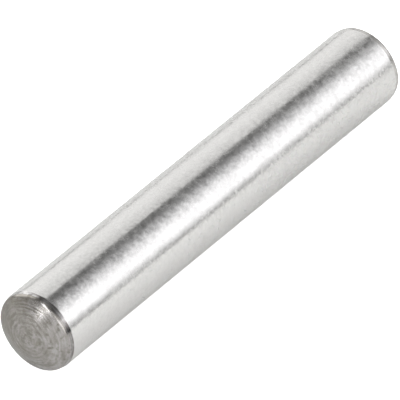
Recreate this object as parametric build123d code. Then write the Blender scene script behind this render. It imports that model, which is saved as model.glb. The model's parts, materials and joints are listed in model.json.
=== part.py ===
from build123d import *
import os
from math import asin, degrees, radians, sqrt, tan

# Driving dimensions, in millimetres, with the one angle in degrees

# Ground diameter of the shank, which is pressed into a reamed hole
shank_diameter = 8.0
# Nominal length, from one crown edge to the other, without the crowns themselves
nominal_length = 50.0
# Lead-in chamfer at each end: its length along the axis, and its angle to the axis
lead_length = 0.6
lead_angle = 10.0
# Spherical radius of the crown turned on each end, about one diameter
crown_radius = 8.0
# Rounded edge between the crown and the lead-in
crown_edge_radius = 0.4
# Soft blend between the lead-in and the shank
shoulder_radius = 0.5

# Places on the lengthwise section, with the pin's axis along X and its middle at the origin
shank_radius = shank_diameter / 2
crown_edge_x = nominal_length / 2
shoulder_x = crown_edge_x - lead_length
crown_edge_y = shank_radius - lead_length * tan(radians(lead_angle))
crown_centre_x = crown_edge_x - sqrt(crown_radius**2 - crown_edge_y**2)
crown_sweep = degrees(asin(crown_edge_y / crown_radius))
apex_x = crown_centre_x + crown_radius


def end_outline():
    """One end above the axis: the crown's arc from its apex to its edge, then the lead-in up to the shank."""
    crown = CenterArc((crown_centre_x, 0), crown_radius, 0, crown_sweep)
    lead_in = Line((crown_edge_x, crown_edge_y), (shoulder_x, shank_radius))
    return crown + lead_in


def half_section():
    """Half of the lengthwise section: two like ends, the shank's line, and the axis, with the corners blended."""
    one_end = end_outline()
    other_end = mirror(one_end, about=Plane.YZ)
    shank_line = Line((-shoulder_x, shank_radius), (shoulder_x, shank_radius))
    axis_line = Line((-apex_x, 0), (apex_x, 0))
    section = make_face(one_end + other_end + shank_line + axis_line)
    shoulders = section.vertices().group_by(Axis.Y)[-1]
    section = fillet(shoulders, shoulder_radius)
    # The crown's apexes lie lowest, on the axis, and its edges come next above them
    crown_edges = section.vertices().group_by(Axis.Y)[1]
    return fillet(crown_edges, crown_edge_radius)


def dowel_pin():
    """The pin: its half section turned once round the axis."""
    pin = revolve(half_section(), Axis.X)
    pin.label = "dowel_pin"
    return pin


os.makedirs("parts", exist_ok=True)
export_step(dowel_pin(), "parts/dowel_pin.step")
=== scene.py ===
"""Looks of a steel dowel pin: a ground shank with turned, crowned ends, in a small white light tent."""

import json
import math

import bpy
import numpy as np
from bpy.props import FloatProperty, FloatVectorProperty, IntProperty, PointerProperty
from bpy.types import NodeSocket, Operator, Panel, PropertyGroup
from mathutils import Matrix, Vector


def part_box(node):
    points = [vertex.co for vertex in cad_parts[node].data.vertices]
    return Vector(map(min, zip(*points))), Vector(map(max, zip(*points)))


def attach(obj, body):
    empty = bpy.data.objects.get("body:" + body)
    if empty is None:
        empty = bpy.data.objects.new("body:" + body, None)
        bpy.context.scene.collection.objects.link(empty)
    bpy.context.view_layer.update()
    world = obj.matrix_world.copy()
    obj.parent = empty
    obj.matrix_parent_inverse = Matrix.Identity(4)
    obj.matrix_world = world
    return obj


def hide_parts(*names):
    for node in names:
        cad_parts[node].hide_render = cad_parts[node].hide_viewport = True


bl_info = {
    "name": "Dowel pin",
    "version": (1, 0, 0),
    "blender": (4, 5, 0),
    "location": "View3D > Sidebar > Dowel pin",
    "description": "Builds the visible surface of a steel dowel pin and the light tent it lies in",
    "category": "Object",
}

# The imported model, and what the pin takes from it
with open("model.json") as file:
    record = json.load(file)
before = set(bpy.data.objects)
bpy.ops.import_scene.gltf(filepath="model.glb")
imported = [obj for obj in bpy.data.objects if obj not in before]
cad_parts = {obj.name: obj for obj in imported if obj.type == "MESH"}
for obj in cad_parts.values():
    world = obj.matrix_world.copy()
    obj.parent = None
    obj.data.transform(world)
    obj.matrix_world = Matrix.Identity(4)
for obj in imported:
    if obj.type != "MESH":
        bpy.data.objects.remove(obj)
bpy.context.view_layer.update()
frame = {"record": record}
NODE = "dowel_pin"
BODY = "root"
MM = 0.001
SHANK_MOUNT = frame["record"]["mounts"][0]
SHANK_RADIUS = SHANK_MOUNT["dims"]["r_mm"] * MM
PIN_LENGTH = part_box(NODE)[1].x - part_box(NODE)[0].x

# Rings of the pin's surface, counted along one end's outline
CROWN_RINGS = 150
EDGE_RINGS = 14
LEAD_RINGS = 6
SHOULDER_RINGS = 6
SHANK_RINGS = 40

# Finishes, as the numbers of their materials
GROUND = 0
TURNED = 1
LEAD = 2
RIM = 3

# The finish of each stretch from crown to shank, at both ends
STRETCH_RINGS = (CROWN_RINGS, EDGE_RINGS, LEAD_RINGS, SHOULDER_RINGS, SHANK_RINGS)
NEAR_FINISHES = (TURNED, TURNED, LEAD, GROUND, GROUND)
FAR_FINISHES = (TURNED, TURNED, RIM, GROUND, GROUND)

# Where the lathe left its deeper grooves, as shares of the radius of the crown's rim
GROOVE_SHARES = (0.10, 0.43, 0.55, 0.64, 0.80, 0.87)

# How much of the tone's range a groove takes
GROOVE_TONE_SHARE = 0.06

# How often a turned ring's tone changes round the axis, in a radian
RING_TURNS = 2.5

# How much of the turned steel's tone comes from patches, and the rest from rings
PATCH_SHARE = 0.5

# Painted shade: how much of the tone's range turned steel gains on its -Y side and on its +Y side, so that
# one side is painted lighter and the other darker
CROWN_PAINTED_SIDE_SHADE = (0.10, -0.19)
LEAD_PAINTED_SIDE_SHADE = (-0.12, 0.10)

# The near lead-in has no film of oil
NO_FILM = 0.0

# From along the rings to across them, as the shader counts turns
QUARTER_TURN = 0.25

# How noise is built up: octaves of finer detail, and how much of its strength each passes on to the next
BROKEN_NOISE = {"Detail": 4.0, "Roughness": 0.6}
SOFT_NOISE = {"Detail": 2.0, "Roughness": 0.5}
ROUND_NOISE = {"Detail": 1.0, "Roughness": 0.5}

# Nearly all values of noise, which a pattern spreads over its whole range
NOISE_RANGE = {"From Min": 0.25, "From Max": 0.75}

# Values of noise from torn to sound steel
TORN_RANGE = {"From Min": 0.33, "From Max": 0.66}

# Values of noise from the bottom of a pit to its rim
PIT_RANGE = {"From Min": 0.25, "From Max": 0.42}

# The middle of noise's three values
NOISE_MIDDLE = (0.5, 0.5, 0.5)

# The sRGB curve: the end and the slope of its straight foot, and the offset and power of the rest
SRGB_FOOT = 0.04045
SRGB_SLOPE = 12.92
SRGB_OFFSET = 0.055
SRGB_POWER = 2.4
FULL_BYTE = 255

# Light at which a surface shows as white
WHITE = 1.0

# How far the camera sees, counted in its own distances from the pin
SIGHT_DISTANCES = 10


def linear(hex_colour):
    """An sRGB hex colour as linear red, green and blue, by the sRGB curve."""
    shares = np.array([int(hex_colour[k:k + 2], 16) for k in (1, 3, 5)]) / FULL_BYTE
    curve = ((shares + SRGB_OFFSET) / (1 + SRGB_OFFSET)) ** SRGB_POWER
    return tuple(np.where(shares <= SRGB_FOOT, shares / SRGB_SLOPE, curve))


class PinSizes(PropertyGroup):
    """Sizes of the pin, as the part's source has them, and of the turning grooves."""

    shank_radius: FloatProperty(
        name="Shank radius", description="Radius of the ground shank", unit="LENGTH", default=SHANK_RADIUS)
    length: FloatProperty(
        name="Length", description="Length over both crowns", unit="LENGTH", default=PIN_LENGTH)
    lead_length: FloatProperty(
        name="Lead-in length", description="Length of the lead-in along the axis", unit="LENGTH",
        default=0.6 * MM)
    lead_angle: FloatProperty(
        name="Lead-in angle", description="Angle of the lead-in to the axis", subtype="ANGLE",
        default=math.radians(10.0))
    crown_radius: FloatProperty(
        name="Crown radius", description="Spherical radius of the turned ends", unit="LENGTH",
        default=8.0 * MM)
    crown_edge_radius: FloatProperty(
        name="Crown edge radius", description="Rounding between crown and lead-in", unit="LENGTH",
        default=0.4 * MM)
    shoulder_radius: FloatProperty(
        name="Shoulder radius", description="Blend between lead-in and shank", unit="LENGTH",
        default=0.5 * MM)
    groove_depth: FloatProperty(
        name="Groove depth", description="Depth of the turning grooves in the crowns", unit="LENGTH",
        default=0.006 * MM)
    groove_width: FloatProperty(
        name="Groove width", description="Half width of the turning grooves in the crowns", unit="LENGTH",
        default=0.08 * MM)
    around: IntProperty(
        name="Points around", description="Points on each ring of the surface", default=192)


class PinFinish(PropertyGroup):
    """Colours and textures of the ground shank, the turned crowns, and the near and far lead-ins."""

    ground_colour: FloatVectorProperty(
        name="Ground steel", description="Colour of the ground shank", subtype="COLOR",
        default=linear("#D8D7D5"))
    dull_colour: FloatVectorProperty(
        name="Dull grain", description="Colour of the ground shank's duller grain", subtype="COLOR",
        default=linear("#D0CFCD"))
    rim_colour: FloatVectorProperty(
        name="Far lead-in", description="Colour of the far end's ground lead-in", subtype="COLOR",
        default=linear("#C2C0BD"))
    rim_dull_colour: FloatVectorProperty(
        name="Dull far lead-in", description="Colour of the far lead-in's duller grain", subtype="COLOR",
        default=linear("#ADABA8"))
    grazing_colour: FloatVectorProperty(
        name="Grazing tint", description="Share of grazing light that the steel mirrors", subtype="COLOR",
        default=linear("#E8E8E8"))
    clear_roughness: FloatProperty(
        name="Clear roughness", description="Roughness of the ground steel's clearest spots",
        subtype="FACTOR", default=0.05)
    near_roughness: FloatProperty(
        name="Near roughness", description="Roughness of the ground steel's haziest spots at the near end",
        subtype="FACTOR", default=0.28)
    far_roughness: FloatProperty(
        name="Far roughness", description="Roughness of the ground steel's haziest spots at the far end",
        subtype="FACTOR", default=0.46)
    # Grinding and tumbling leave marks finer than a pixel, so spots, uneven patches and grain are drawn
    # as coarse as they need to be to show
    spot: FloatProperty(
        name="Spot", description="Size of the ground steel's hazier spots", unit="LENGTH", default=0.45 * MM)
    cloud_haze: FloatProperty(
        name="Cloud haze", description="How far roughness goes up and down from cloud to cloud",
        subtype="FACTOR", default=0.08)
    cloud: FloatProperty(
        name="Cloud", description="Size of the ground steel's hazier clouds", unit="LENGTH", default=3.0 * MM)
    cloud_seed: FloatProperty(
        name="Cloud seed", description="Which of many patterns of clouds the ground steel has", default=5.0)
    mottle: FloatProperty(
        name="Mottle", description="Size of the ground steel's uneven patches", unit="LENGTH",
        default=0.6 * MM)
    tilt_along: FloatProperty(
        name="Tilt along", description="How far the uneven patches tilt the surface along the axis",
        default=0.25)
    tilt_round: FloatProperty(
        name="Tilt round", description="How far the uneven patches tilt the surface round the axis",
        default=0.05)
    grain: FloatProperty(
        name="Grain", description="Size of the ground steel's fine grain", unit="LENGTH", default=0.3 * MM)
    turned_colour: FloatVectorProperty(
        name="Turned steel", description="Colour of the turned crowns", subtype="COLOR",
        default=linear("#A6A3A1"))
    torn_colour: FloatVectorProperty(
        name="Torn steel", description="Colour of the turned steel's darker rings", subtype="COLOR",
        default=linear("#777371"))
    oil_colour: FloatVectorProperty(
        name="Oil tint", description="Colour of the turned crowns' oily patches", subtype="COLOR",
        default=linear("#7A7669"))
    turned_roughness: FloatProperty(
        name="Turned roughness", description="Roughness of the turned crowns", subtype="FACTOR", default=0.26)
    radial_spread: FloatProperty(
        name="Radial spread", description="How much the turned rings spread a highlight across themselves",
        subtype="FACTOR", default=0.55)
    lead_colour: FloatVectorProperty(
        name="Near lead-in", description="Colour of the near end's turned lead-in", subtype="COLOR",
        default=linear("#C8C7C6"))
    lead_roughness: FloatProperty(
        name="Near lead-in roughness", description="Roughness of the near end's turned lead-in",
        subtype="FACTOR", default=0.18)
    # The lathe's feed marks are finer than a pixel, so rings are drawn as coarse as they need to be to show
    ring_width: FloatProperty(
        name="Ring width", description="Width of the turned steel's rings", unit="LENGTH", default=0.22 * MM)
    ring_depth: FloatProperty(
        name="Ring depth", description="Height of the turned steel's fine texture", unit="LENGTH",
        default=0.006 * MM)
    patch: FloatProperty(
        name="Patch", description="Size of the turned steel's patches", unit="LENGTH", default=0.8 * MM)
    pit: FloatProperty(
        name="Pit", description="Size of the turned steel's dark pits", unit="LENGTH", default=0.5 * MM)
    film: FloatProperty(
        name="Oil film", description="How much of the turned crowns a clear film of oil covers",
        subtype="FACTOR", default=0.4)
    film_roughness: FloatProperty(
        name="Oil film roughness", description="Roughness of the film of oil", subtype="FACTOR", default=0.1)


class PinStudio(PropertyGroup):
    """Camera, floor, lamp, room and light tent."""

    distance: FloatProperty(
        name="Camera distance", description="From the pin's middle to the camera", unit="LENGTH",
        default=0.90556)
    azimuth: FloatProperty(
        name="Camera azimuth", description="Turn about the vertical, from looking along +Y", subtype="ANGLE",
        default=math.radians(-53.33))
    elevation: FloatProperty(
        name="Camera elevation", description="Height of the camera above the horizon", subtype="ANGLE",
        default=math.radians(37.37))
    lens: FloatProperty(
        name="Lens", description="Focal length on a 36 mm sensor, in millimetres", default=900.0)
    right_of_axis: FloatProperty(
        name="Right of axis", description="How far right of the picture's middle the pin's middle lies",
        unit="LENGTH", default=0.2242 * MM)
    above_axis: FloatProperty(
        name="Above axis", description="How far above the picture's middle the pin's middle lies",
        unit="LENGTH", default=0.3157 * MM)
    floor_half: FloatProperty(
        name="Floor", description="Half of the floor's side", unit="LENGTH", default=1.0)
    floor_colour: FloatVectorProperty(
        name="Floor colour", description="Colour of the floor", subtype="COLOR", default=linear("#F3F3F1"))
    floor_glow: FloatProperty(
        name="Floor glow", description="Light that the floor adds for the camera and in reflections",
        default=0.09)
    shown_glow: FloatProperty(
        name="Shown glow", description="Light that the floor adds for the camera alone", default=0.63)
    board_lamp: FloatProperty(
        name="Board lamp", description="Power of the lamp that lights the floor in front of the pin",
        unit="POWER", default=0.017)
    lamp_distance: FloatProperty(
        name="Lamp distance", description="From the pin's middle to the board lamp", unit="LENGTH",
        default=0.15)
    lamp_azimuth: FloatProperty(
        name="Lamp azimuth", description="Turn of the board lamp about the vertical, from looking along +Y",
        subtype="ANGLE", default=math.radians(-20.0))
    lamp_elevation: FloatProperty(
        name="Lamp elevation", description="Height of the board lamp above the horizon", subtype="ANGLE",
        default=math.radians(50.0))
    lamp_side: FloatProperty(
        name="Lamp side", description="Side of the board lamp's square", unit="LENGTH", default=0.08)
    room: FloatProperty(
        name="Room", description="Light of the dim room above the tent", default=0.16)
    roof: FloatProperty(
        name="Roof", description="Light of the room's roof, straight above the pin", default=0.9)
    cloth: FloatProperty(
        name="Cloth", description="Light of the tent's cloth outside its windows", default=0.56)
    tent_radius: FloatProperty(
        name="Tent radius", description="From the pin's middle to the tent's wall", unit="LENGTH",
        default=0.9)


def stretch(start, stop, count):
    """Evenly spaced values from start up to, but without, stop."""
    return np.linspace(start, stop, count, endpoint=False)


def end_outline(sizes):
    """One end's outline as arrays x, r and groove, from the crown's apex to just short of the shank's middle.

    Five stretches meet tangentially. The crown is an arc about a centre on the axis, less the bell-shaped
    turning grooves. The crown's edge is a small arc inside both the crown and the lead-in. The lead-in is
    a line at its angle to the axis. The shoulder is an arc that touches the lead-in and the shank. The
    shank is a line at the shank's radius. Groove is 1 at the bottom of a groove and 0 outside it.
    """
    lean = np.array([math.sin(sizes.lead_angle), math.cos(sizes.lead_angle)])
    along_lead = np.array([-lean[1], lean[0]])
    # Where the crown and the lead-in would meet with no rounding between them
    corner_r = sizes.shank_radius - sizes.lead_length * math.tan(sizes.lead_angle)
    crown_centre = sizes.length / 2 - sizes.crown_radius
    corner = np.array([crown_centre + math.sqrt(sizes.crown_radius**2 - corner_r**2), corner_r])
    # The edge's centre lies on a line inside the lead-in and on a circle inside the crown
    inside = corner - lean * sizes.crown_edge_radius - np.array([crown_centre, 0.0])
    reach = sizes.crown_radius - sizes.crown_edge_radius
    step = -inside @ along_lead - math.sqrt((inside @ along_lead) ** 2 - inside @ inside + reach**2)
    edge_centre = inside + step * along_lead
    crown_end = math.atan2(edge_centre[1], edge_centre[0])
    edge_centre = edge_centre + np.array([crown_centre, 0.0])
    lead_turn = math.pi / 2 - sizes.lead_angle
    # The shoulder's centre lies below the end of the full shank
    shoulder_x = corner[0] - sizes.lead_length - sizes.shoulder_radius * math.tan(sizes.lead_angle / 2)
    shoulder_centre = np.array([shoulder_x, sizes.shank_radius - sizes.shoulder_radius])

    crown_turn = stretch(0.0, crown_end, CROWN_RINGS)
    face = sizes.crown_radius * np.sin(crown_turn)
    groove_r = np.array(GROOVE_SHARES)[:, None] * sizes.crown_radius * math.sin(crown_end)
    groove = np.exp(-(((face - groove_r) / sizes.groove_width) ** 2)).max(axis=0)
    cut_radius = sizes.crown_radius - sizes.groove_depth * groove
    edge_turn = stretch(crown_end, lead_turn, EDGE_RINGS)
    shoulder_turn = stretch(lead_turn, math.pi / 2, SHOULDER_RINGS)
    lead_from = edge_centre + sizes.crown_edge_radius * lean
    lead_to = shoulder_centre + sizes.shoulder_radius * lean
    lead_share = stretch(0.0, 1.0, LEAD_RINGS)
    x = np.concatenate([
        crown_centre + cut_radius * np.cos(crown_turn),
        edge_centre[0] + sizes.crown_edge_radius * np.cos(edge_turn),
        lead_from[0] + lead_share * (lead_to[0] - lead_from[0]),
        shoulder_centre[0] + sizes.shoulder_radius * np.cos(shoulder_turn),
        stretch(shoulder_x, 0.0, SHANK_RINGS),
    ])
    r = np.concatenate([
        cut_radius * np.sin(crown_turn),
        edge_centre[1] + sizes.crown_edge_radius * np.sin(edge_turn),
        lead_from[1] + lead_share * (lead_to[1] - lead_from[1]),
        shoulder_centre[1] + sizes.shoulder_radius * np.sin(shoulder_turn),
        np.full(SHANK_RINGS, sizes.shank_radius),
    ])
    groove = np.concatenate([groove, np.zeros(len(x) - CROWN_RINGS)])
    return x, r, groove


def revolve(name, x, r, finish, groove, around):
    """A closed surface of revolution about X, with the angles a_j evenly spaced round it.

    Point (i, j) is (x_i, r_i cos a_j, r_i sin a_j). The outline starts and ends on the axis, where a fan of
    triangles closes the surface. The band between two rings has the finish of its first ring. The attribute
    lay holds (cos a_j, sin a_j) and the way along the outline, so that a pattern can follow the marks that
    run round the pin, and the attribute groove holds the outline's own.
    """
    turn = stretch(0.0, 2 * math.pi, around)
    rings = len(x) - 2
    grid = np.empty((rings, around, 3))
    grid[..., 0] = x[1:-1, None]
    grid[..., 1] = r[1:-1, None] * np.cos(turn)
    grid[..., 2] = r[1:-1, None] * np.sin(turn)
    first_pole = rings * around
    points = np.vstack([grid.reshape(-1, 3), [x[0], 0.0, 0.0], [x[-1], 0.0, 0.0]])
    number = np.arange(first_pole).reshape(rings, around)
    beside = np.roll(number, -1, axis=1)
    bands = np.stack([number[:-1], beside[:-1], beside[1:], number[1:]], axis=-1).reshape(-1, 4)
    first_fan = np.stack([np.full(around, first_pole), beside[0], number[0]], axis=-1)
    last_fan = np.stack([np.full(around, first_pole + 1), number[-1], beside[-1]], axis=-1)
    mesh = bpy.data.meshes.new(name)
    mesh.from_pydata(points.tolist(), [], bands.tolist() + first_fan.tolist() + last_fan.tolist())
    band_finish = np.repeat(finish[1:-2], around)
    fan_finish = np.repeat([finish[0], finish[-1]], around)
    face_finish = np.concatenate([band_finish, fan_finish])
    mesh.polygons.foreach_set("material_index", face_finish.astype(np.int32))
    mesh.polygons.foreach_set("use_smooth", np.ones(len(mesh.polygons), dtype=bool))
    way = np.concatenate([[0.0], np.cumsum(np.hypot(np.diff(x), np.diff(r)))])
    lay = np.empty((rings, around, 3))
    lay[..., 0] = np.cos(turn)
    lay[..., 1] = np.sin(turn)
    lay[..., 2] = way[1:-1, None]
    lay = np.vstack([lay.reshape(-1, 3), [0.0, 0.0, way[0]], [0.0, 0.0, way[-1]]])
    lay_attribute = mesh.attributes.new("lay", "FLOAT_VECTOR", "POINT")
    lay_attribute.data.foreach_set("vector", lay.ravel().astype(np.float32))
    cut = np.concatenate([np.repeat(groove[1:-1], around), groove[[0, -1]]])
    groove_attribute = mesh.attributes.new("groove", "FLOAT", "POINT")
    groove_attribute.data.foreach_set("value", cut.astype(np.float32))
    mesh.update()
    return mesh


def show(name, mesh, materials):
    """An object for a finished mesh, at the origin, with its materials."""
    piece = bpy.data.objects.new(name, mesh)
    bpy.context.scene.collection.objects.link(piece)
    for material in materials:
        mesh.materials.append(material)
    return piece


def add_node(tree, kind, sockets=None, **settings):
    """Adds a node, sets its properties, and fills its sockets with values or with links from other nodes."""
    node = tree.nodes.new(kind)
    for name, value in settings.items():
        setattr(node, name, value)
    for name, value in (sockets or {}).items():
        if isinstance(value, NodeSocket):
            tree.links.new(value, node.inputs[name])
        else:
            node.inputs[name].default_value = value
    return node


def new_material(name):
    """An empty node material and its output node."""
    material = bpy.data.materials.new(name)
    material.use_nodes = True
    material.node_tree.nodes.clear()
    return material, add_node(material.node_tree, "ShaderNodeOutputMaterial")


def ground_steel(name, finish, sizes, colours):
    """Hardened steel, centreless ground and tumbled: a satin mirror with haze and tilt that change by spots.

    Hazier spots blur what the steel mirrors and clearer ones show it dark and sharp, so the edge of a
    reflection breaks up into blotches. Hazy spots grow hazier from the near end to the far one, wider clouds
    shift them together, fine grain makes the pale bands uneven, and grazing light is mirrored less than by a
    polished metal. The shank has this finish, and in duller colours the far lead-in.
    """
    material, output = new_material(name)
    tree = material.node_tree
    place = add_node(tree, "ShaderNodeTexCoord")
    surface = add_node(tree, "ShaderNodeNewGeometry")
    mottle = add_node(tree, "ShaderNodeTexNoise", {
        "Vector": place.outputs["Object"], "Scale": 1 / finish.mottle, **BROKEN_NOISE})
    centred = add_node(tree, "ShaderNodeVectorMath", {
        0: mottle.outputs["Color"], 1: NOISE_MIDDLE}, operation="SUBTRACT")
    tilted = add_node(tree, "ShaderNodeVectorMath", {
        0: centred.outputs["Vector"], 1: (finish.tilt_along, finish.tilt_round, finish.tilt_round),
        2: surface.outputs["Normal"]}, operation="MULTIPLY_ADD")
    normal = add_node(tree, "ShaderNodeVectorMath", {0: tilted.outputs["Vector"]}, operation="NORMALIZE")
    along = add_node(tree, "ShaderNodeSeparateXYZ", {"Vector": place.outputs["Object"]})
    haziest = add_node(tree, "ShaderNodeMapRange", {
        "Value": along.outputs["X"], "From Min": -sizes.length / 2, "From Max": sizes.length / 2,
        "To Min": finish.near_roughness, "To Max": finish.far_roughness})
    spots = add_node(tree, "ShaderNodeTexNoise", {
        "Vector": place.outputs["Object"], "Scale": 1 / finish.spot, **BROKEN_NOISE})
    haze = add_node(tree, "ShaderNodeMapRange", {
        "Value": spots.outputs["Fac"], **NOISE_RANGE,
        "To Min": finish.clear_roughness, "To Max": haziest.outputs["Result"]})
    clouds = add_node(tree, "ShaderNodeTexNoise", {
        "Vector": place.outputs["Object"], "W": finish.cloud_seed, "Scale": 1 / finish.cloud, **SOFT_NOISE},
        noise_dimensions="4D")
    cloud_haze = add_node(tree, "ShaderNodeMapRange", {
        "Value": clouds.outputs["Fac"], **NOISE_RANGE,
        "To Min": -finish.cloud_haze, "To Max": finish.cloud_haze})
    roughness = add_node(tree, "ShaderNodeMath", {
        0: haze.outputs["Result"], 1: cloud_haze.outputs["Result"]}, operation="ADD")
    grain = add_node(tree, "ShaderNodeTexNoise", {
        "Vector": place.outputs["Object"], "Scale": 1 / finish.grain, **SOFT_NOISE})
    bright = add_node(tree, "ShaderNodeMapRange", {"Value": grain.outputs["Fac"], **NOISE_RANGE})
    colour = add_node(tree, "ShaderNodeMix", {
        "Factor": bright.outputs["Result"], "A": (*colours[0], 1.0), "B": (*colours[1], 1.0)},
        data_type="RGBA")
    steel = add_node(tree, "ShaderNodeBsdfPrincipled", {
        "Base Color": colour.outputs["Result"], "Metallic": 1.0, "Roughness": roughness.outputs[0],
        "Specular Tint": (*finish.grazing_colour, 1.0), "Normal": normal.outputs["Vector"]})
    tree.links.new(steel.outputs["BSDF"], output.inputs["Surface"])
    return material


def turned_steel(name, finish, sizes, colours, roughness, painted_side_shade, film):
    """The same steel as the lathe left it: duller than the ground shank, with torn, darker rings and patches.

    Its fine rings run round the axis, so they spread a highlight outwards and inwards and keep it narrow
    along the ring. Cutting oil tints the torn steel, small pits are dark, and a thin film of oil adds a
    second, clearer shine. Painted shade makes one side of it lighter and the other darker, across Y. The
    crowns have this finish, and in a paler colour and with no film the near lead-in.
    """
    material, output = new_material(name)
    tree = material.node_tree
    lay = add_node(tree, "ShaderNodeAttribute", attribute_name="lay")
    groove = add_node(tree, "ShaderNodeAttribute", attribute_name="groove")
    place = add_node(tree, "ShaderNodeTexCoord")
    rings_place = add_node(tree, "ShaderNodeVectorMath", {
        0: lay.outputs["Vector"], 1: (RING_TURNS, RING_TURNS, 1 / finish.ring_width)}, operation="MULTIPLY")
    rings = add_node(tree, "ShaderNodeTexNoise", {
        "Vector": rings_place.outputs["Vector"], "Scale": 1.0, **SOFT_NOISE})
    patches = add_node(tree, "ShaderNodeTexNoise", {
        "Vector": place.outputs["Object"], "Scale": 1 / finish.patch, **BROKEN_NOISE})
    both = add_node(tree, "ShaderNodeMix", {
        "Factor": PATCH_SHARE, "A": rings.outputs["Fac"], "B": patches.outputs["Fac"]})
    cut = add_node(tree, "ShaderNodeMath", {
        0: groove.outputs["Fac"], 1: -GROOVE_TONE_SHARE, 2: both.outputs["Result"]}, operation="MULTIPLY_ADD")
    sides = add_node(tree, "ShaderNodeSeparateXYZ", {"Vector": place.outputs["Object"]})
    # Painted shade: the tone is ramped across Y, lighter on one side and darker on the other
    side_shade_ramp = add_node(tree, "ShaderNodeMapRange", {
        "Value": sides.outputs["Y"], "From Min": -sizes.shank_radius, "From Max": sizes.shank_radius,
        "To Min": painted_side_shade[0], "To Max": painted_side_shade[1]})
    side_shaded_tone = add_node(tree, "ShaderNodeMath", {
        0: cut.outputs[0], 1: side_shade_ramp.outputs["Result"]}, operation="ADD")
    untorn = add_node(tree, "ShaderNodeMapRange", {"Value": side_shaded_tone.outputs[0], **TORN_RANGE})
    pits = add_node(tree, "ShaderNodeTexNoise", {
        "Vector": place.outputs["Object"], "Scale": 1 / finish.pit, **ROUND_NOISE})
    unpitted = add_node(tree, "ShaderNodeMapRange", {"Value": pits.outputs["Fac"], **PIT_RANGE})
    sound = add_node(tree, "ShaderNodeMath", {
        0: untorn.outputs["Result"], 1: unpitted.outputs["Result"]}, operation="MULTIPLY")
    torn = add_node(tree, "ShaderNodeMix", {
        "Factor": patches.outputs["Color"], "A": (*colours[0], 1.0), "B": (*colours[1], 1.0)},
        data_type="RGBA")
    colour = add_node(tree, "ShaderNodeMix", {
        "Factor": sound.outputs[0], "A": torn.outputs["Result"], "B": (*colours[2], 1.0)},
        data_type="RGBA")
    bump = add_node(tree, "ShaderNodeBump", {
        "Height": both.outputs["Result"], "Distance": finish.ring_depth})
    round_axis = add_node(tree, "ShaderNodeTangent", direction_type="RADIAL", axis="X")
    steel = add_node(tree, "ShaderNodeBsdfPrincipled", {
        "Base Color": colour.outputs["Result"], "Metallic": 1.0, "Roughness": roughness,
        "Specular Tint": (*finish.grazing_colour, 1.0), "Anisotropic": finish.radial_spread,
        "Anisotropic Rotation": QUARTER_TURN, "Tangent": round_axis.outputs["Tangent"],
        "Coat Weight": film, "Coat Roughness": finish.film_roughness,
        "Normal": bump.outputs["Normal"]})
    tree.links.new(steel.outputs["BSDF"], output.inputs["Surface"])
    return material


class DOWEL_OT_pin(Operator):
    """Build the pin's visible surface and put it in place of its solid"""

    bl_idname = "dowel.pin"
    bl_label = "Pin"

    def execute(self, context):
        sizes = context.scene.pin_sizes
        finish = context.scene.pin_finish
        x, r, groove = end_outline(sizes)
        # The other end is the same outline mirrored
        x = np.concatenate([-x, [0.0], x[::-1]])
        r = np.concatenate([r, [sizes.shank_radius], r[::-1]])
        near_kind = np.repeat(NEAR_FINISHES, STRETCH_RINGS)
        far_kind = np.repeat(FAR_FINISHES, STRETCH_RINGS)
        kind = np.concatenate([near_kind, far_kind[::-1], [TURNED]])
        groove = np.concatenate([groove, [0.0], groove[::-1]])
        mesh = revolve("pin_surface", x, r, kind, groove, sizes.around)
        crown_colours = (finish.torn_colour, finish.oil_colour, finish.turned_colour)
        crown_steel = turned_steel(
            "turned_crown_steel", finish, sizes, crown_colours, finish.turned_roughness,
            CROWN_PAINTED_SIDE_SHADE, finish.film)
        lead_colours = (finish.torn_colour, finish.torn_colour, finish.lead_colour)
        lead_steel = turned_steel(
            "turned_lead_in_steel", finish, sizes, lead_colours, finish.lead_roughness,
            LEAD_PAINTED_SIDE_SHADE, NO_FILM)
        shank_colours = (finish.dull_colour, finish.ground_colour)
        shank_steel = ground_steel("ground_tumbled_steel", finish, sizes, shank_colours)
        rim_colours = (finish.rim_dull_colour, finish.rim_colour)
        rim_steel = ground_steel("ground_lead_in_steel", finish, sizes, rim_colours)
        piece = show("pin_surface", mesh, [shank_steel, crown_steel, lead_steel, rim_steel])
        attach(piece, BODY)
        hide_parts(NODE)
        return {"FINISHED"}


def smooth_rise(value, start, stop):
    """0 before start, 1 after stop, and a smooth cubic between them."""
    share = np.clip((value - start) / (stop - start), 0.0, 1.0)
    return share * share * (3 - 2 * share)


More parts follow.
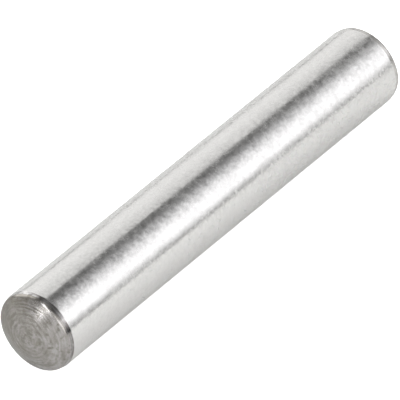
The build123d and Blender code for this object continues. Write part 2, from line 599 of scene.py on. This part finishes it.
# Lit windows in the tent's wall, in degrees round the vertical from +X and above the horizon: where each is
# at its full strength, and how far its light fades past each side. A strength below zero is a dark card.
WINDOWS = {
    "back card": {
        "strength": 0.64, "colour": "#FFFFFF", "azimuth": (20, 100), "azimuth_fades": (6, 60),
        "height": (6, 50), "height_fades": (3, 12)},
    "back left softbox": {
        "strength": 1.2, "colour": "#FFFFFF", "azimuth": (72, 108), "azimuth_fades": (14, 20),
        "height": (15, 60), "height_fades": (12, 8)},
    "top card": {
        "strength": 0.5, "colour": "#FFFFFF", "azimuth": (48, 70), "azimuth_fades": (6, 10),
        "height": (46, 58), "height_fades": (6, 6)},
    "key softbox": {
        "strength": 1.15, "colour": "#FBFBFF", "azimuth": (-162, -25), "azimuth_fades": (8, 30),
        "height": (20, 31), "height_fades": (18, 30)},
    "key's bright middle": {
        "strength": 0.7, "colour": "#FFFFFF", "azimuth": (-92, -64), "azimuth_fades": (10, 8),
        "height": (26, 31), "height_fades": (6, 6)},
    "gap under the key": {
        "strength": -0.55, "colour": "#FFFFFF", "azimuth": (-105, -72), "azimuth_fades": (15, 12),
        "height": (0, 12), "height_fades": (1, 6)},
    "low front card": {
        "strength": 1.8, "colour": "#FFFFFF", "azimuth": (-165, -125), "azimuth_fades": (6, 15),
        "height": (0, 14), "height_fades": (1, 8)},
    "left strip": {
        "strength": 8.6, "colour": "#F8FAFF", "azimuth": (172, 177), "azimuth_fades": (4, 5),
        "height": (16, 66), "height_fades": (12, 4)},
    "low left strip": {
        "strength": 11.0, "colour": "#F8FAFF", "azimuth": (162, 167), "azimuth_fades": (3, 3),
        "height": (0, 2), "height_fades": (1, 3)},
}

# The tent's cloth
CLOTH_COLOUR = "#FFFFFF"

# From where to where the tent's wall goes up, in degrees above the horizon
TENT_HEIGHT = (-0.5, 70)

# Where the tent's cloth dims towards the room, in degrees above the horizon
CLOTH_FADE = (20, 60)

# Where the room above the tent passes into its lighter roof, in degrees above the horizon
ROOF_FADE = (66, 80)

# Points of the tent's wall, round it and up it
TENT_ROUND = 241
TENT_UP = 142

# Half of the way round, in degrees
HALF_TURN = 180


def tent_light(azimuth, height, studio):
    """Light of the tent's wall at each direction, with red, green and blue as the last axis.

    It is that of pale cloth, which dims towards the room above, plus what each window adds there.
    """
    cloth = studio.cloth + (studio.room - studio.cloth) * smooth_rise(height, *CLOTH_FADE)
    light = cloth[..., None] * np.array(linear(CLOTH_COLOUR))
    for window in WINDOWS.values():
        middle = sum(window["azimuth"]) / 2
        half = (window["azimuth"][1] - window["azimuth"][0]) / 2
        off = (azimuth - middle + HALF_TURN) % (2 * HALF_TURN) - HALF_TURN
        before, after = window["azimuth_fades"]
        across = smooth_rise(off, -half - before, -half) * (1 - smooth_rise(off, half, half + after))
        low, high = window["height"]
        below, above = window["height_fades"]
        upright = smooth_rise(height, low - below, low) * (1 - smooth_rise(height, high, high + above))
        light += window["strength"] * (across * upright)[..., None] * np.array(linear(window["colour"]))
    return light


def tent_wall(studio):
    """A round wall about the vertical through the pin's middle, which carries its light on its points.

    Point (i, j) is at azimuth a_j on a circle of the tent's radius, as high as elevation e_i reaches there.
    """
    azimuth = np.linspace(-HALF_TURN, HALF_TURN, TENT_ROUND)
    height = np.linspace(*TENT_HEIGHT, TENT_UP)
    a, e = np.meshgrid(azimuth, height)
    points = np.stack([
        studio.tent_radius * np.cos(np.radians(a)),
        studio.tent_radius * np.sin(np.radians(a)),
        studio.tent_radius * np.tan(np.radians(e)),
    ], axis=-1)
    number = np.arange(a.size).reshape(a.shape)
    faces = np.stack([number[:-1, :-1], number[1:, :-1], number[1:, 1:], number[:-1, 1:]], axis=-1)
    mesh = bpy.data.meshes.new("tent_wall")
    mesh.from_pydata(points.reshape(-1, 3).tolist(), [], faces.reshape(-1, 4).tolist())
    light = mesh.attributes.new("light", "FLOAT_VECTOR", "POINT")
    light.data.foreach_set("vector", tent_light(a, e, studio).ravel().astype(np.float32))
    mesh.update()
    return mesh


def tent_cloth():
    """White tent cloth lit from outside: it shines with the light that its points carry."""
    material, output = new_material("lit_tent_cloth")
    tree = material.node_tree
    light = add_node(tree, "ShaderNodeAttribute", attribute_name="light")
    glow = add_node(tree, "ShaderNodeEmission", {"Color": light.outputs["Color"]})
    tree.links.new(glow.outputs["Emission"], output.inputs["Surface"])
    return material


def white_floor(studio):
    """Matt white board: it keeps the pin's shadow, and shines a little for the camera and in the steel."""
    material, output = new_material("matt_white_board")
    tree = material.node_tree
    path = add_node(tree, "ShaderNodeLightPath")
    mirrored = add_node(tree, "ShaderNodeMath", {
        0: path.outputs["Is Camera Ray"], 1: path.outputs["Is Glossy Ray"]}, operation="MAXIMUM")
    seen = add_node(tree, "ShaderNodeMath", {
        0: mirrored.outputs[0], 1: path.outputs["Is Transmission Ray"]}, operation="MAXIMUM")
    seen_glow = add_node(tree, "ShaderNodeMath", {
        0: seen.outputs[0], 1: studio.floor_glow}, operation="MULTIPLY")
    glow = add_node(tree, "ShaderNodeMath", {
        0: path.outputs["Is Camera Ray"], 1: studio.shown_glow, 2: seen_glow.outputs[0]},
        operation="MULTIPLY_ADD")
    board = add_node(tree, "ShaderNodeBsdfDiffuse", {"Color": (*studio.floor_colour, 1.0)})
    shine = add_node(tree, "ShaderNodeEmission", {"Strength": glow.outputs[0]})
    both = add_node(tree, "ShaderNodeAddShader", {0: board.outputs["BSDF"], 1: shine.outputs["Emission"]})
    tree.links.new(both.outputs["Shader"], output.inputs["Surface"])
    return material


def dim_room(studio):
    """A world that is white to the camera, and to all else a dim grey room with a lighter roof."""
    world = bpy.data.worlds.new("dim_room")
    world.use_nodes = True
    tree = world.node_tree
    tree.nodes.clear()
    path = add_node(tree, "ShaderNodeLightPath")
    place = add_node(tree, "ShaderNodeTexCoord")
    upward = add_node(tree, "ShaderNodeSeparateXYZ", {"Vector": place.outputs["Generated"]})
    room = add_node(tree, "ShaderNodeMapRange", {
        "Value": upward.outputs["Z"], "From Min": math.sin(math.radians(ROOF_FADE[0])),
        "From Max": math.sin(math.radians(ROOF_FADE[1])), "To Min": studio.room, "To Max": studio.roof})
    light = add_node(tree, "ShaderNodeMapRange", {
        "Value": path.outputs["Is Camera Ray"], "To Min": room.outputs["Result"], "To Max": WHITE})
    sky = add_node(tree, "ShaderNodeBackground", {"Strength": light.outputs["Result"]})
    output = add_node(tree, "ShaderNodeOutputWorld")
    tree.links.new(sky.outputs["Background"], output.inputs["Surface"])
    return world


def look_at_pin(piece, azimuth, elevation, offset):
    """Turns an object to face the pin from a direction, and sets it off by so much right, up and back."""
    back = Vector((
        math.sin(azimuth) * math.cos(elevation),
        -math.cos(azimuth) * math.cos(elevation),
        math.sin(elevation),
    ))
    turn = (-back).to_track_quat("-Z", "Y").to_matrix()
    piece.matrix_world = Matrix.Translation(turn @ Vector(offset)) @ turn.to_4x4()


def place_camera(studio):
    """A long lens on the photograph's line of sight, set off so that the pin lies where it does there."""
    data = bpy.data.cameras.new("camera")
    data.lens = studio.lens
    data.clip_end = SIGHT_DISTANCES * studio.distance
    camera = bpy.data.objects.new("camera", data)
    bpy.context.scene.collection.objects.link(camera)
    offset = (-studio.right_of_axis, -studio.above_axis, studio.distance)
    look_at_pin(camera, studio.azimuth, studio.elevation, offset)
    bpy.context.scene.camera = camera


def place_lamp(studio):
    """A soft square lamp in front of the pin, which lights the board and isn't mirrored in the steel."""
    data = bpy.data.lights.new("board_lamp", "AREA")
    data.size = studio.lamp_side
    data.energy = studio.board_lamp
    lamp = bpy.data.objects.new("board_lamp", data)
    lamp.visible_glossy = False
    bpy.context.scene.collection.objects.link(lamp)
    look_at_pin(lamp, studio.lamp_azimuth, studio.lamp_elevation, (0.0, 0.0, studio.lamp_distance))


class DOWEL_OT_stage(Operator):
    """Set up the floor, the light tent, the room, the camera and the lamp"""

    bl_idname = "dowel.stage"
    bl_label = "Stage"

    def execute(self, context):
        studio = context.scene.pin_studio
        half = studio.floor_half
        down = -context.scene.pin_sizes.shank_radius
        corners = [(-half, -half, down), (half, -half, down), (half, half, down), (-half, half, down)]
        board = bpy.data.meshes.new("floor")
        board.from_pydata(corners, [], [(0, 1, 2, 3)])
        floor = show("floor", board, [white_floor(studio)])
        tent = show("light_tent", tent_wall(studio), [tent_cloth()])
        tent.visible_camera = False
        context.scene.world = dim_room(studio)
        context.scene.view_settings.view_transform = "Standard"
        place_camera(studio)
        place_lamp(studio)
        return {"FINISHED"}


class VIEW3D_PT_dowel_pin(Panel):
    """Lists the pin's sizes, finishes and studio, and the operators that build them"""

    bl_idname = "VIEW3D_PT_dowel_pin"
    bl_label = "Dowel pin"
    bl_space_type = "VIEW_3D"
    bl_region_type = "UI"
    bl_category = "Dowel pin"

    def draw(self, context):
        for group in (context.scene.pin_sizes, context.scene.pin_finish, context.scene.pin_studio):
            for name in group.__annotations__:
                self.layout.prop(group, name)
        self.layout.operator(DOWEL_OT_pin.bl_idname)
        self.layout.operator(DOWEL_OT_stage.bl_idname)


CLASSES = (PinSizes, PinFinish, PinStudio, DOWEL_OT_pin, DOWEL_OT_stage, VIEW3D_PT_dowel_pin)


def register():
    for each in CLASSES:
        bpy.utils.register_class(each)
    bpy.types.Scene.pin_sizes = PointerProperty(type=PinSizes)
    bpy.types.Scene.pin_finish = PointerProperty(type=PinFinish)
    bpy.types.Scene.pin_studio = PointerProperty(type=PinStudio)


def unregister():
    del bpy.types.Scene.pin_studio
    del bpy.types.Scene.pin_finish
    del bpy.types.Scene.pin_sizes
    for each in reversed(CLASSES):
        bpy.utils.unregister_class(each)


def main():
    register()
    bpy.ops.dowel.pin()
    bpy.ops.dowel.stage()


if __name__ == "__main__":
    main()
